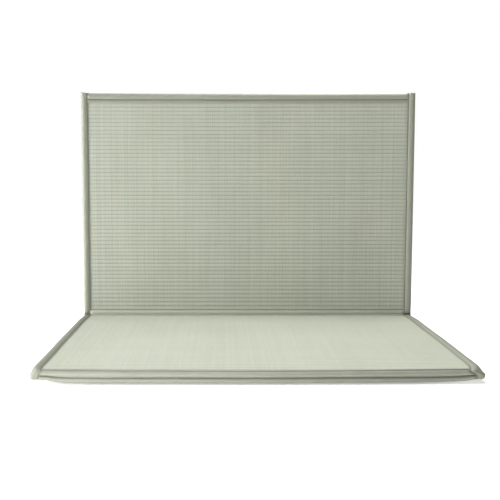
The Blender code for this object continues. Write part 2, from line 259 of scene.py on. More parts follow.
# ---------------------------------------------------------------- meshes
def shell(name, outer, inner, uv_outer, uv_inner, material, seams=None):
    """Closed mesh between two grids that share their rows. Rows run along the piece.
    seams gives each point's distance from the sewn line and its place along it."""
    rows, c_out = outer.shape[:2]
    c_in = inner.shape[1]
    points = np.concatenate([outer.reshape(-1, 3), inner.reshape(-1, 3)])
    base = rows * c_out
    a = np.arange(rows * c_out).reshape(rows, c_out)
    b = base + np.arange(rows * c_in).reshape(rows, c_in)

    def quads(g):
        return np.stack([g[:-1, :-1], g[:-1, 1:], g[1:, 1:], g[1:, :-1]], -1).reshape(
            -1, 4
        )

    faces = [quads(a), quads(b)[:, ::-1]]
    faces.append(np.stack([a[1:, 0], b[1:, 0], b[:-1, 0], a[:-1, 0]], -1)[:, ::-1])
    faces.append(np.stack([a[1:, -1], b[1:, -1], b[:-1, -1], a[:-1, -1]], -1))
    faces = np.concatenate(faces)
    faces[-2 * (rows - 1) :] = faces[-2 * (rows - 1) :, ::-1]
    caps = [
        np.concatenate([a[0], b[0][::-1]])[::-1],
        np.concatenate([a[-1], b[-1][::-1]]),
    ]
    loops = np.concatenate([faces.ravel(), *caps])
    totals = np.concatenate(
        [np.full(len(faces), 4), [len(c) for c in caps]]
    ).astype(np.int32)
    starts = np.concatenate([[0], np.cumsum(totals)[:-1]]).astype(np.int32)
    me = bpy.data.meshes.new(name)
    me.vertices.add(len(points))
    me.vertices.foreach_set("co", points.astype(np.float32).ravel())
    me.loops.add(len(loops))
    me.loops.foreach_set("vertex_index", loops.astype(np.int32))
    me.polygons.add(len(totals))
    me.polygons.foreach_set("loop_start", starts)
    me.polygons.foreach_set("loop_total", totals)
    me.polygons.foreach_set("use_smooth", np.ones(len(totals), bool))
    uv = np.concatenate([uv_outer.reshape(-1, 2), uv_inner.reshape(-1, 2)])
    me.update(calc_edges=True)
    layer = me.uv_layers.new(name="Weave", do_init=False)
    layer.uv.foreach_set("vector", uv[loops].astype(np.float32).ravel())
    if seams is not None:
        sewn = np.concatenate([g.reshape(-1, 2) for g in seams])
        layer = me.uv_layers.new(name="Seam", do_init=False)
        layer.uv.foreach_set("vector", sewn[loops].astype(np.float32).ravel())
    me.update()
    me.validate()
    # caps stay flat, so that they don't pull at the rounded faces beside them
    for k in (-1, -2):
        me.polygons[k].use_smooth = False
    tri = points[faces][:, (0, 1, 2)]
    tri2 = points[faces][:, (0, 2, 3)]
    volume = sum(
        float((t[:, 0] * np.cross(t[:, 1], t[:, 2])).sum()) for t in (tri, tri2)
    )
    if volume < 0:
        me.flip_normals()
    me.materials.append(material)
    ob = bpy.data.objects.new(name, me)
    bpy.context.scene.collection.objects.link(ob)
    return ob


def own(ob, slot, *nodes):
    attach(ob, "root")
    if nodes:
        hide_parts(*nodes)
    return ob


def spaced(a, b, step, extra=()):
    """Stations from a to b about step apart, with the extra ones kept."""
    marks = sorted([a, b] + [float(m) for m in extra if a + 0.01 < m < b - 0.01])
    out = [a]
    for p, q in zip(marks[:-1], marks[1:]):
        k = max(1, int(round((q - p) / step)))
        out += list(p + (q - p) * np.arange(1, k + 1) / k)
    return np.array(out)


# ---------------------------------------------------------------- materials
class Nodes:
    """Short calls for building a material's node tree."""

    def __init__(self, name, colour, roughness):
        self.m = bpy.data.materials.new(name)
        self.m.use_nodes = True
        self.t = self.m.node_tree
        self.bsdf = self.t.nodes["Principled BSDF"]
        self.bsdf.inputs["Roughness"].default_value = roughness
        self.bsdf.inputs["Metallic"].default_value = 0.0
        self.m.diffuse_color = (*colour, 1.0)

    def put(self, node, socket, value):
        if isinstance(value, bpy.types.NodeSocket):
            self.t.links.new(value, node.inputs[socket])
        else:
            node.inputs[socket].default_value = value

    def math(self, op, a, b=0.0, c=0.0):
        n = self.t.nodes.new("ShaderNodeMath")
        n.operation = op
        for i, v in enumerate((a, b, c)):
            self.put(n, i, v)
        return n.outputs[0]

    def add(self, a, b):
        return self.math("ADD", a, b)

    def sub(self, a, b):
        return self.math("SUBTRACT", a, b)

    def mul(self, a, b):
        return self.math("MULTIPLY", a, b)

    def uv(self, layer="Weave"):
        n = self.t.nodes.new("ShaderNodeUVMap")
        n.uv_map = layer
        s = self.t.nodes.new("ShaderNodeSeparateXYZ")
        self.t.links.new(n.outputs[0], s.inputs[0])
        return s.outputs[0], s.outputs[1]

    def vec(self, x=0.0, y=0.0, z=0.0):
        n = self.t.nodes.new("ShaderNodeCombineXYZ")
        for i, v in enumerate((x, y, z)):
            self.put(n, i, v)
        return n.outputs[0]

    def random(self, i, j=None, w=0.0):
        """One value from 0 to 1 for each whole number i, or pair i and j."""
        n = self.t.nodes.new("ShaderNodeTexWhiteNoise")
        n.noise_dimensions = "3D"
        self.put(n, "Vector", self.vec(i, 0.0 if j is None else j, w))
        return n.outputs["Value"]

    def noise(self, vector, scale, detail=2.0, rough=0.5):
        n = self.t.nodes.new("ShaderNodeTexNoise")
        n.noise_dimensions = "3D"
        self.put(n, "Vector", vector)
        self.put(n, "Scale", scale)
        self.put(n, "Detail", detail)
        self.put(n, "Roughness", rough)
        return n.outputs["Fac"]

    def ramp(self, value, low, high, out_low=0.0, out_high=1.0, smooth=True):
        n = self.t.nodes.new("ShaderNodeMapRange")
        n.interpolation_type = "SMOOTHSTEP" if smooth else "LINEAR"
        for k, v in zip(
            ("Value", "From Min", "From Max", "To Min", "To Max"),
            (value, low, high, out_low, out_high),
        ):
            self.put(n, k, v)
        return n.outputs[0]

    def mix(self, f, a, b, kind="MIX"):
        n = self.t.nodes.new("ShaderNodeMix")
        n.data_type = "RGBA"
        n.blend_type = kind
        self.put(n, "Factor", f)
        for socket, v in ((n.inputs["A"], a), (n.inputs["B"], b)):
            pass
        colour_inputs = [s for s in n.inputs if s.type == "RGBA"]
        for socket, v in zip(colour_inputs, (a, b)):
            if isinstance(v, bpy.types.NodeSocket):
                self.t.links.new(v, socket)
            else:
                socket.default_value = (*v, 1.0)
        return [s for s in n.outputs if s.type == "RGBA"][0]

    def shade(self, colour, value):
        """colour times value."""
        n = self.t.nodes.new("ShaderNodeVectorMath")
        n.operation = "SCALE"
        if isinstance(colour, bpy.types.NodeSocket):
            self.t.links.new(colour, n.inputs[0])
        else:
            n.inputs[0].default_value = colour
        self.put(n, "Scale", value)
        return n.outputs[0]

    def bump(self, height, normal=None, strength=1.0):
        """height in metres."""
        n = self.t.nodes.new("ShaderNodeBump")
        n.inputs["Strength"].default_value = strength
        n.inputs["Distance"].default_value = 1.0
        self.t.links.new(height, n.inputs["Height"])
        if normal is not None:
            self.t.links.new(normal, n.inputs["Normal"])
        return n.outputs[0]

    def done(self, colour, normal=None, roughness=None):
        self.t.links.new(colour, self.bsdf.inputs["Base Color"])
        if normal is not None:
            self.t.links.new(normal, self.bsdf.inputs["Normal"])
        if roughness is not None:
            self.t.links.new(roughness, self.bsdf.inputs["Roughness"])
        return self.m


RUSH_COLOUR = (0.428, 0.452, 0.376)
TAPE_COLOUR = (0.246, 0.255, 0.203)
# the hinge strips are the side tapes' cloth painted lighter: painted light on the front strip, and more on the
# rear strip, in the shaded inside corner of the bend
STRIP_LIT_COLOUR = (0.286, 0.296, 0.241)
BEND_LIT_COLOUR = (0.390, 0.404, 0.322)
BACK_COLOUR = (0.400, 0.410, 0.345)


def rush_material(name, seed, painted_light=1.0, sheen=0.05, row_shade=0.06, streaks=1.0):
    """Rush strands packed side by side, bound down along each warp line."""
    k = Nodes(name, RUSH_COLOUR, 0.5)
    u, v = k.uv()
    u = k.add(u, 7.0)  # keeps every number positive
    v = k.add(v, 3.0)
    row = k.math("DIVIDE", v, ROW / 1000)
    j = k.math("FLOOR", row)
    across_row = k.math("FRACT", row)
    # strands lean and shift a little, and not the same in each row
    drift = k.noise(k.vec(k.mul(u, 1.0), k.mul(v, 0.35), seed), 42.0, 2.0)
    lean = k.mul(k.sub(k.random(j, None, seed), 0.5), 0.0006)
    wide = k.add(u, k.add(k.mul(k.sub(drift, 0.5), 0.0042), lean))
    strand = k.math("DIVIDE", wide, STRAND / 1000)
    i = k.math("FLOOR", strand)
    across = k.math("FRACT", strand)
    by_strand = k.random(i, None, seed + 0.5)
    by_cell = k.random(i, j, seed + 1.5)
    # height of one strand: round, and thin ones lie lower
    side = k.sub(k.mul(across, 2.0), 1.0)
    round_ = k.math("SQRT", k.math("MAXIMUM", k.sub(1.0, k.mul(side, side)), 0.0))
    lower = k.add(0.72, k.mul(by_cell, 0.28))
    # distance to the nearest warp line, in metres
    near = k.mul(
        k.sub(0.5, k.math("ABSOLUTE", k.sub(across_row, 0.5))), ROW / 1000
    )
    bound = k.ramp(near, 0.0002, 0.0015, 1.0, 0.0)
    over = k.math("MODULO", k.add(i, j), 2.0)  # every other strand passes over
    dash = k.mul(bound, k.add(0.22, k.mul(k.sub(1.0, over), 0.78)))
    height = k.mul(k.mul(round_, lower), 0.00042)
    height = k.sub(height, k.mul(dash, 0.00038))
    fine = k.noise(k.vec(k.mul(wide, 1.0), k.mul(v, 0.03), seed + 3.0), 3600.0, 2.0)
    height = k.add(height, k.mul(fine, 0.00006))
    normal = k.bump(height)
    # colour: each stem has its own tone along its whole length
    own_tone = 0.065 * (0.3 + 0.7 * streaks)
    tone = k.add(0.99 - own_tone, k.mul(by_strand, 2.0 * own_tone))
    tone = k.mul(tone, k.add(0.955, k.mul(by_cell, 0.09)))
    # painted shade: each row darkens towards its warp lines, where it rounds down to them
    tone = k.mul(tone, k.sub(1.0, k.mul(k.ramp(near, 0.0, 0.0042, 1.0, 0.0), row_shade)))
    streak = k.noise(k.vec(wide, k.mul(v, 0.012), seed + 5.0), 330.0, 2.0, 0.6)
    low, high = 1.0 - 0.045 * streaks, 1.0 + 0.04 * streaks
    tone = k.mul(tone, k.ramp(streak, 0.28, 0.72, low, high, False))
    patch = k.noise(k.vec(u, k.mul(v, 0.55), seed + 8.0), 7.0, 3.0)
    tone = k.mul(tone, k.ramp(patch, 0.3, 0.7, 0.965, 1.03, False))
    band = k.random(j, None, seed + 11.0)
    tone = k.mul(tone, k.add(0.985, k.mul(band, 0.03)))
    # painted shade in the crevice between neighbouring strands, at each strand's edges
    strand_gap_shade = k.ramp(k.math("ABSOLUTE", side), 0.55, 1.0, 0.0, 1.0)
    tone = k.mul(tone, k.sub(1.0, k.mul(strand_gap_shade, k.add(0.14, k.mul(by_cell, 0.26)))))
    # painted shade where the strands dip at the warp lines
    tone = k.mul(tone, k.sub(1.0, k.mul(dash, 0.34)))
    rare = k.random(i, k.math("FLOOR", k.mul(row, 0.13)), seed + 14.0)
    tan = k.ramp(rare, 0.92, 0.97, 0.0, 0.36 * streaks)
    teal = k.ramp(rare, 0.0, 0.10, 0.35 * streaks, 0.0)
    base = k.mix(tan, RUSH_COLOUR, (0.450, 0.415, 0.290))
    base = k.mix(teal, base, (0.360, 0.428, 0.382))
    warm = k.noise(k.vec(u, k.mul(v, 0.4), seed + 21.0), 5.0, 2.0)
    base = k.mix(k.ramp(warm, 0.35, 0.75, 0.0, 0.35 * streaks), base, (0.440, 0.435, 0.335))
    rough = k.add(0.47, k.mul(by_strand, 0.14))
    k.bsdf.inputs["Specular IOR Level"].default_value = 0.02
    k.bsdf.inputs["Sheen Weight"].default_value = sheen
    k.bsdf.inputs["Sheen Roughness"].default_value = 0.35
    # the whole colour is scaled by the factor given for this copy: painted light, so that one copy of the rush
    # looks more lit than another
    return k.done(k.shade(base, k.mul(tone, painted_light)), normal, rough)


STITCH = 0.0042  # from one stitch to the next


def cloth_material(name, colour, seed, thread, roughness, sheen, depth, thread_shade, sewn=False):
    """Plain woven cloth; thread is its pitch in metres. Sewn cloth has a line of stitches along its Seam map, with
    painted shade along the seam's ditch and in the needle holes.
    """
    k = Nodes(name, colour, roughness)
    u, v = k.uv()
    u = k.add(u, 5.0)
    v = k.add(v, 5.0)
    wob = k.mul(k.sub(k.noise(k.vec(u, v, seed), 60.0, 2.0), 0.5), thread * 2.0)
    pu = k.math("DIVIDE", k.add(u, wob), thread)
    pv = k.math("DIVIDE", k.sub(v, wob), thread)
    i, j = k.math("FLOOR", pu), k.math("FLOOR", pv)
    fu, fv = k.math("FRACT", pu), k.math("FRACT", pv)
    hu = k.math("SINE", k.mul(fu, math.pi))
    hv = k.math("SINE", k.mul(fv, math.pi))
    over = k.math("MODULO", k.add(i, j), 2.0)
    up = k.add(k.mul(over, hu), k.mul(k.sub(1.0, over), hv))
    slub = k.noise(k.vec(k.mul(u, 1.0), k.mul(v, 0.08), seed + 2.0), 700.0, 2.0)
    height = k.add(k.mul(up, depth), k.mul(slub, depth * 0.5))
    soft = k.noise(k.vec(u, v, seed + 4.0), 46.0, 3.0, 0.55)
    height = k.add(height, k.mul(soft, depth * 5.0))
    # painted shade: each thread is darker where it sinks, lighter on its crown
    tone = k.add(1.0 - thread_shade, k.mul(up, thread_shade * 1.4))
    if sewn:
        off, along = k.uv("Seam")
        off = k.add(off, k.mul(k.sub(k.noise(k.vec(0.0, along, seed + 8.0), 90.0, 1.0), 0.5), 0.0006))
        far = k.math("ABSOLUTE", off)
        beat = k.math("DIVIDE", k.add(along, 3.0), STITCH)
        step = k.math("ABSOLUTE", k.sub(k.math("FRACT", beat), 0.5))
        ditch_shade = k.math("EXPONENT", k.mul(k.mul(off, off), -1.0 / 0.0013**2))
        on = k.mul(k.ramp(step, 0.33, 0.42, 1.0, 0.0), k.ramp(far, 0.0002, 0.00042, 1.0, 0.0))
        hole = k.mul(k.ramp(step, 0.41, 0.47, 0.0, 1.0), k.ramp(far, 0.0003, 0.0007, 1.0, 0.0))
        tug = k.mul(
            k.math("COSINE", k.mul(beat, 2.0 * math.pi)),
            k.math("EXPONENT", k.mul(far, -1.0 / 0.0028)),
        )
        pull = k.noise(k.vec(k.mul(off, 0.25), along, seed + 12.0), 260.0, 2.0)
        pull = k.mul(k.sub(pull, 0.5), k.math("EXPONENT", k.mul(far, -1.0 / 0.006)))
        height = k.add(height, k.mul(on, 0.00032))
        height = k.sub(height, k.mul(hole, 0.0004))
        height = k.add(height, k.add(k.mul(tug, -0.00010), k.mul(pull, 0.0011)))
        # painted shade along the seam's ditch, less where the stitches lie over it, and in the needle holes
        tone = k.mul(tone, k.sub(1.0, k.mul(k.mul(ditch_shade, 0.40), k.sub(1.0, k.mul(on, 0.45)))))
        tone = k.mul(tone, k.sub(1.0, k.mul(hole, 0.45)))
    normal = k.bump(height)
    tone = k.mul(tone, k.ramp(slub, 0.25, 0.75, 0.97, 1.03, False))
    blot = k.noise(k.vec(u, v, seed + 6.0), 14.0, 3.0)
    tone = k.mul(tone, k.ramp(blot, 0.3, 0.7, 0.97, 1.03, False))
    k.bsdf.inputs["Sheen Weight"].default_value = sheen
    k.bsdf.inputs["Sheen Roughness"].default_value = 0.45
    k.bsdf.inputs["Sheen Tint"].default_value = (0.92, 0.95, 0.85, 1.0)
    k.bsdf.inputs["Specular IOR Level"].default_value = 0.35
    rough = k.add(roughness - 0.05, k.mul(soft, 0.12))
    return k.done(k.shade(colour, tone), normal, rough)


# painted light: the seat's rush is painted about 1.3 times as light as the upright's, for the light that falls on
# it from above and its sheen seen at a grazing angle
rush_seat_mat = rush_material("rush_seat_weave", 1.0, 1.305, 0.08, 0.04, 0.55)
rush_up_mat = rush_material("rush_upright_weave", 31.0, 0.985)
rush_low_mat = rush_material("rush_lower_weave", 57.0)
tape_mat = cloth_material(
    "tape_cloth", TAPE_COLOUR, 3.0, 0.00048, 0.56, 0.05, 0.000035, 0.05, sewn=True
)
# hinge_cloth and bend_cloth are copies of the tape cloth painted lighter: painted light
strip_mat = cloth_material(
    "hinge_cloth", STRIP_LIT_COLOUR, 5.0, 0.00048, 0.56, 0.05, 0.000035, 0.05, sewn=True
)
bend_mat = cloth_material(
    "bend_cloth", BEND_LIT_COLOUR, 6.0, 0.00048, 0.56, 0.05, 0.000035, 0.05, sewn=True
)
back_mat = cloth_material(
    "backing_weave", BACK_COLOUR, 9.0, 0.00062, 0.80, 0.05, 0.00006, 0.09
)

# ---------------------------------------------------------------- rush facings
EDGE_IN = WIDTH / 2 - (SIDE_LIP - 9.0)
RUSH = 1.6
PROFILE = np.array([0.0, 0.05, 0.13, 0.27, 0.5, 0.73, 0.87, 0.95])


def row_relief(s, x, first, seed):
    """Each row of strands rises between its two warp lines."""
    t = (s - first) / ROW
    j = np.floor(t)
    f = t - j
    bulge = np.maximum(0.0, 1.0 - np.abs(2.0 * f - 1.0) ** 2.6) ** 0.62
    swell = 1.0 + 0.16 * noise(x / 9.0, j * 1.7, seed) + 0.10 * noise(
        x / 31.0, j * 0.9, seed + 1
    )
    return -0.42 + 0.66 * bulge * swell


def rush_facing(name, s0, s1, hidden0, hidden1, seed, material, node, pressed=False):
    """s0..s1 the whole facing; hidden0 and hidden1 the stretch at each end that lies under a tape."""
    first = math.floor(s0 / ROW) * ROW + 3.7
    j = np.arange(-1, int((s1 - first) / ROW) + 2)
    rows = (first + (j[:, None] + PROFILE[None, :]) * ROW).ravel()
    rows = rows[(rows > s0 + 0.3) & (rows < s1 - 0.3)]
    rows = np.concatenate([[s0], rows, [s1]])
    cols = np.linspace(-EDGE_IN, EDGE_IN, 131)
    S, X = np.meshgrid(rows, cols, indexing="ij")
    n = HALF_T + row_relief(S, X, first, seed)
    # under the tapes' lips the rush is held down
    under = ease((np.abs(X) - (WIDTH / 2 - lip_at(X, S) - 1.5)) / 3.0)
    under = np.maximum(under, ease((s0 + hidden0 + 1.5 - S) / 3.0))
    under = np.maximum(under, ease((S - (s1 - hidden1 - 1.5)) / 3.0))
    n = n - 0.25 * under
    deep = ease((np.abs(X) - (WIDTH / 2 - SIDE_LIP + 0.6)) / 1.6)
    n = n * (1.0 - deep) + (HALF_T - 1.75) * deep
    if pressed:
        n = np.minimum(n, HALF_T) - 0.75 * under
    outer = world(X, S, n)
    edge = np.array([-EDGE_IN, EDGE_IN])
    S2, X2 = np.meshgrid(rows, edge, indexing="ij")
    inner = world(X2, S2, np.full(S2.shape, HALF_T - RUSH - 0.9))
    uv = np.stack([X, S], -1) * 0.001
    uv[..., 1] -= first * 0.001
    uv2 = np.stack([X2, S2], -1) * 0.001
    uv2[..., 1] -= first * 0.001
    ob = shell(name, outer, inner, uv, uv2, material)
    own(ob, "woven_rush", node)
    return ob


rush_seat = rush_facing(
    "rush_facing_seat", s_fold(84.5), S_BEND - 14.4, 2.6, 1.6, 101, rush_seat_mat,
    "rush_seat",
)
rush_up = rush_facing(
    "rush_facing_upright", S_UP + 14.4, S_TOP - END_LIP + 8.4, 1.6, 8.4, 202,
    rush_up_mat, "rush_upright",
)
rush_low = rush_facing(
    "rush_facing_lower", END_LIP - 9.0, s_fold(-84.0), 9.0, 2.6, 303, rush_low_mat,
    "rush_lower", pressed=True,
)

# ---------------------------------------------------------------- side bindings
def puff_face(u, seam_at, crown, lip, seam, top=9.5):
    """Height of a tape's face at the distance u from its outer edge; its puff is highest at top."""
    t = np.clip((u - top) / (seam_at - 0.2 - top), 0.0, 1.0)
    inner = seam + (crown - seam) * (1.0 - t**2.3) ** 0.8
    edge = np.clip((top - u) / top, 0.0, 1.0)
    outer = crown * (1.0 - edge**2.1) ** (1 / 2.1)
    flat = seam + (lip - seam) * ease((u - seam_at) / 1.7)
    return np.where(u < top, outer, np.where(u < seam_at, inner, flat))


SIDE_U = np.array(
    [24.2, 24.05, 23.7, 23.2, 22.7, 22.2, 21.7, 21.2, 20.7, 20.2, 19.7, 19.2, 18.6, 17.8,
     16.8, 15.4, 13.8, 12.0, 10.4, 9.0, 7.6, 6.2, 4.9, 3.7, 2.6, 1.7, 0.9, 0.35, 0.05]
)
SIDE_BACK = SIDE_U[::-1][:-1]


def side_stations():
    """Close together round the bends and at the ends, wider apart on the straights."""
    out = [
        spaced(-SIDE_OVER, 8.0, 0.8),
        spaced(8.0, s_lower(62.0), 9.0),
        spaced(s_lower(62.0), S_FOLD, 3.5),
        spaced(S_FOLD, S_SEAT, 0.62),
        spaced(S_SEAT, s_seat(62.0), 3.0),
        spaced(s_seat(62.0), S_BEND - 30.0, 4.0),
        spaced(S_BEND - 30.0, S_BEND, 2.0),
        spaced(S_BEND, S_UP, 0.8),
        spaced(S_UP, S_UP + 30.0, 2.0),
        spaced(S_UP + 30.0, S_TOP - 10.0, 4.0),
        spaced(S_TOP - 10.0, S_TOP + TOP_OVER, 0.6),
    ]
    return np.unique(np.round(np.concatenate(out), 4))


def closing(s):
    """Share of the full height towards a side tape's folded-in ends."""
    d = np.minimum(s + SIDE_OVER, S_TOP + TOP_OVER - s)
    t = np.clip(1.0 - d / 3.2, 0.0, 1.0)
    return np.sqrt(np.maximum(1.0 - t**2.6, 0.0)) * 0.985 + 0.015


def side_binding(name, sign, seed, node):
    s = side_stations()
    S, U = np.meshgrid(s, SIDE_U, indexing="ij")
    p = proud(S)
    # puckers: the puff swells and slackens along the tape, more where it turns a corner
    turn = np.exp(-((fold_angle(S) / 75.0) ** 2))
    pinch = np.exp(-(((bend_angle(S) - 45.0) / 95.0) ** 2))
    swell = 0.22 * noise(S / 26.0, U / 30.0, seed) + 0.13 * noise(S / 8.0, U / 14.0, seed + 1)
    swell = swell * (0.6 + 1.4 * turn + 1.2 * pinch)
    free = ease(p * 2.0)
    high = ease((S - S_UP - 4.0) / 60.0)
    crown = HALF_T + (PUFF - 0.1 + 1.0 * high + swell) * p - 1.5 * pinch * p
    # the tape is nipped together in the inside corner of the bend
    nip = np.exp(-(((bend_angle(S) - 45.0) / 48.0) ** 2)) * ease(p * 2.0)
    crown = crown - 3.0 * nip
    lip = HALF_T + (PROUD - 0.6 + 0.10 * noise(S / 40.0, 0 * U, seed + 2)) * p
    seam = HALF_T - (0.85 - 0.05 * swell) * p - 0.3 * pinch * p
    line = along_side(SEAMS[sign], S)
    top = 9.5 * line / 19.9
    seam_at = line + 0.35 * noise(S / 70.0, 0 * U, seed + 3)
    edge_wave = 0.35 * noise(S / 55.0, 0 * U, seed + 4)
    reach = along_side(LIPS[sign], S)
    near_lip = (U - 19.9) / (24.2 - 19.9)
    wide = np.where(U < 19.9, U * line / 19.9, line + near_lip * (reach - line))
    u = wide + edge_wave * ease((U - 21.5) / 2.5)
    front = puff_face(wide, seam_at, crown, lip, seam, top)
    front = front - 0.5 * ease((U - 22.4) / 1.8) * free
    # back of the tape: flush between the layers, proud on the upright's back
    q = back_proud(s)
    SB, UB = np.meshgrid(s, SIDE_BACK, indexing="ij")
    Q = back_proud(SB)
    b = HALF_T - lift(SB)
    swell_b = 0.2 * noise(SB / 24.0, UB / 30.0, seed + 7) * Q
    crown_b = b + (1.5 + swell_b) * Q
    lip_b = b + 1.0 * Q
    seam_b = b + 0.1 * Q - 0.12 * (1 - Q)
    line_b = along_side(SEAMS[sign], SB)
    wide_b = np.where(
        UB < 19.9,
        UB * line_b / 19.9,
        line_b + (UB - 19.9) / (24.2 - 19.9) * (along_side(LIPS[sign], SB) - line_b),
    )
    back = -puff_face(wide_b, line_b, crown_b, lip_b, seam_b, 9.5 * line_b / 19.9)
    u_all = np.concatenate([u, wide_b], 1)
    line_all = np.concatenate([seam_at, line_b], 1)
    n_all = np.concatenate([front, back], 1)
    s_all = np.concatenate([S, SB], 1)
    shut = closing(s_all)
    n_all = n_all * shut
    # its folded-in end slopes down to the end tape beside it
    slope = ease((u_all - 11.0) / 11.0)
    s_all = s_all - (1.9 + 1.1 * slope) * ease((s_all - (S_TOP - 14.0)) / 14.0)
    outer = world(sign * (WIDTH / 2 - u_all), s_all, n_all)
    # inner face: same tape, one cloth thickness in
    cols = np.array([0, 3, 6, 8, 9, 10, 12, 14, 17, 19, 21, 23, 25, 28])
    m = len(SIDE_U)
    pick = np.concatenate([cols, 2 * m - 2 - cols[::-1][1:]])
    ui, ni, si = u_all[:, pick], n_all[:, pick], s_all[:, pick]
    depth = np.hypot(np.maximum(SIDE_EDGE - ui, 0.0), np.abs(ni)) + 1e-6
    scale_u = np.where(ui < SIDE_EDGE, np.maximum(SIDE_EDGE - ui, 0.0) / depth, 0.0)
    scale_n = np.where(ui < SIDE_EDGE, ni / depth, np.sign(ni))
    thick = np.minimum(CLOTH, np.abs(ni) * 0.45 + 0.02)
    at_seam = (np.abs(ui - line_all[:, pick]) < 1.8) & (ni > 0)
    thick = np.where(at_seam, np.minimum(thick, 0.5), thick)
    inner = world(
        sign * (WIDTH / 2 - (ui + CLOTH * scale_u)), si, ni - thick * scale_n
    )
    arc = np.concatenate(
        [[0.0], np.cumsum(np.linalg.norm(np.diff(outer[len(s) // 3], axis=0), axis=1))]
    )
    uv = np.stack([np.broadcast_to(arc, s_all.shape), s_all * 0.001], -1)
    # the nip across the tape in the bend's inside corner gets the seam's painted shade: the Seam map puts it near
    # the sewn line
    from_nip = np.maximum(np.abs(s_all - (S_BEND + S_UP) / 2) - LEN_BEND / 2, 0.0)
    from_nip = 0.35 * from_nip + 9.0 * (n_all < 0.0)
    from_line = u_all - line_all
    from_line = np.sign(from_line) * np.minimum(np.abs(from_line), from_nip)
    sewn = np.stack([from_line, s_all], -1) * 0.001
    ob = shell(name, outer, inner, uv, uv[:, pick], tape_mat, (sewn, sewn[:, pick]))
    return own(ob, "binding_cloth", node)


bind_left = side_binding("side_tape_left", -1, 17, "binding_left")
bind_right = side_binding("side_tape_right", 1, 43, "binding_right")


# ---------------------------------------------------------------- end bindings
BAR_X = WIDTH / 2 - SIDE_LIP + 4.0  # the end runs in under the side tape's lip


def bar_columns():
    return spaced(-BAR_X, BAR_X, 4.0)


def end_binding(name, at, way, free, seed, node):
    """at is the station of the end; way is 1 where the panel lies at higher stations."""
    v = np.array(
        [28.5, 28.35, 27.9, 26.8, 25.4, 24.0, 22.6, 21.4, 20.6, 20.0, 19.5, 19.1, 18.7,
         18.3, 17.7, 16.8, 15.4, 13.8, 12.0, 10.4, 9.0, 7.6, 6.2, 4.9, 3.7, 2.6, 1.7, 0.9,
         0.35, 0.05]
    )
    x = bar_columns()
    X, V = np.meshgrid(x, v, indexing="ij")
    swell = 0.2 * noise(X / 30.0, V / 30.0, seed) + 0.12 * noise(X / 9.0, V / 14.0, seed + 1)
    # the end dives under the side tape's lip
    dive = ease((np.abs(X) - (WIDTH / 2 - lip_at(X, at + 0 * X) - 2.0)) / 4.0)
    crown = HALF_T + (PUFF + 0.7 + swell) * free - 2.2 * dive * free
    lip = HALF_T + (PROUD - 0.1) * free - 1.0 * dive
    seam = HALF_T - 0.9 * free - 0.1 * dive
    seam_at = END_SEAM + 0.3 * noise(X / 80.0, 0 * V, seed + 3)
    front = puff_face(V, seam_at, crown, lip, seam, 8.8)
    front = front + 0.35 * free * np.sin(math.pi * np.clip((V - 20.5) / 8.0, 0, 1))
    front = front - 0.55 * (V > 28.4) * free
    wave = 0.35 * noise(X / 60.0, 0 * V, seed + 5) * ease((V - 24.0) / 4.0)
    vb = v[::-1][:-1]
    XB, VB = np.meshgrid(x, vb, indexing="ij")
    bf = 1.0 if way < 0 else 0.0
    crown_b = HALF_T + 1.4 * bf - 0.8 * ease((np.abs(XB) - 474.0) / 4.0) * bf
    back = -puff_face(
        VB, END_SEAM, crown_b, HALF_T + 0.9 * bf + 0 * VB, HALF_T - 0.3 + 0 * VB, 8.8
    )
    va = np.concatenate([V + wave, VB], 1)
    na = np.concatenate([front, back], 1)
    xa = np.concatenate([X, XB], 1)
    outer = world(xa, at + way * va, na)
    cols = np.array([0, 3, 6, 8, 10, 12, 14, 16, 18, 20, 22, 24, 26, 29])
    m = len(v)
    pick = np.concatenate([cols, 2 * m - 2 - cols[::-1][1:]])
    vi, ni, xi = va[:, pick], na[:, pick], xa[:, pick]
    depth = np.hypot(np.maximum(SIDE_EDGE - vi, 0.0), np.abs(ni)) + 1e-6
    sv = np.where(vi < SIDE_EDGE, np.maximum(SIDE_EDGE - vi, 0.0) / depth, 0.0)
    sn = np.where(vi < SIDE_EDGE, ni / depth, np.sign(ni))
    thick = np.where((np.abs(vi - END_SEAM) < 1.8) & (ni > 0), 0.5, CLOTH)
    inner = world(xi, at + way * (vi + thick * sv), ni - thick * sn)
    arc = np.concatenate(
        [[0.0], np.cumsum(np.linalg.norm(np.diff(outer[len(x) // 2], axis=0), axis=1))]
    )
    uv = np.stack([np.broadcast_to(arc, xa.shape), xa * 0.001], -1)
    sewn = np.stack([va - END_SEAM, xa], -1) * 0.001
    ob = shell(name, outer, inner, uv, uv[:, pick], tape_mat, (sewn, sewn[:, pick]))
    return own(ob, "binding_cloth", node)


bind_top = end_binding("end_tape_top", S_TOP, -1, 1.0, 71, "binding_top")
bind_low = end_binding("end_tape_lower", 0.0, 1, 0.0, 83, "binding_lower_end")


# ---------------------------------------------------------------- hinge strips
def soften(x, y, at, width):
    """Table x, y read at the places at, rounded off over this width."""
    total = 0.0
    for o, w in ((-1.0, 0.12), (-0.5, 0.23), (0.0, 0.3), (0.5, 0.23), (1.0, 0.12)):
        total = total + w * np.interp(at + o * width, x, y)
    return total


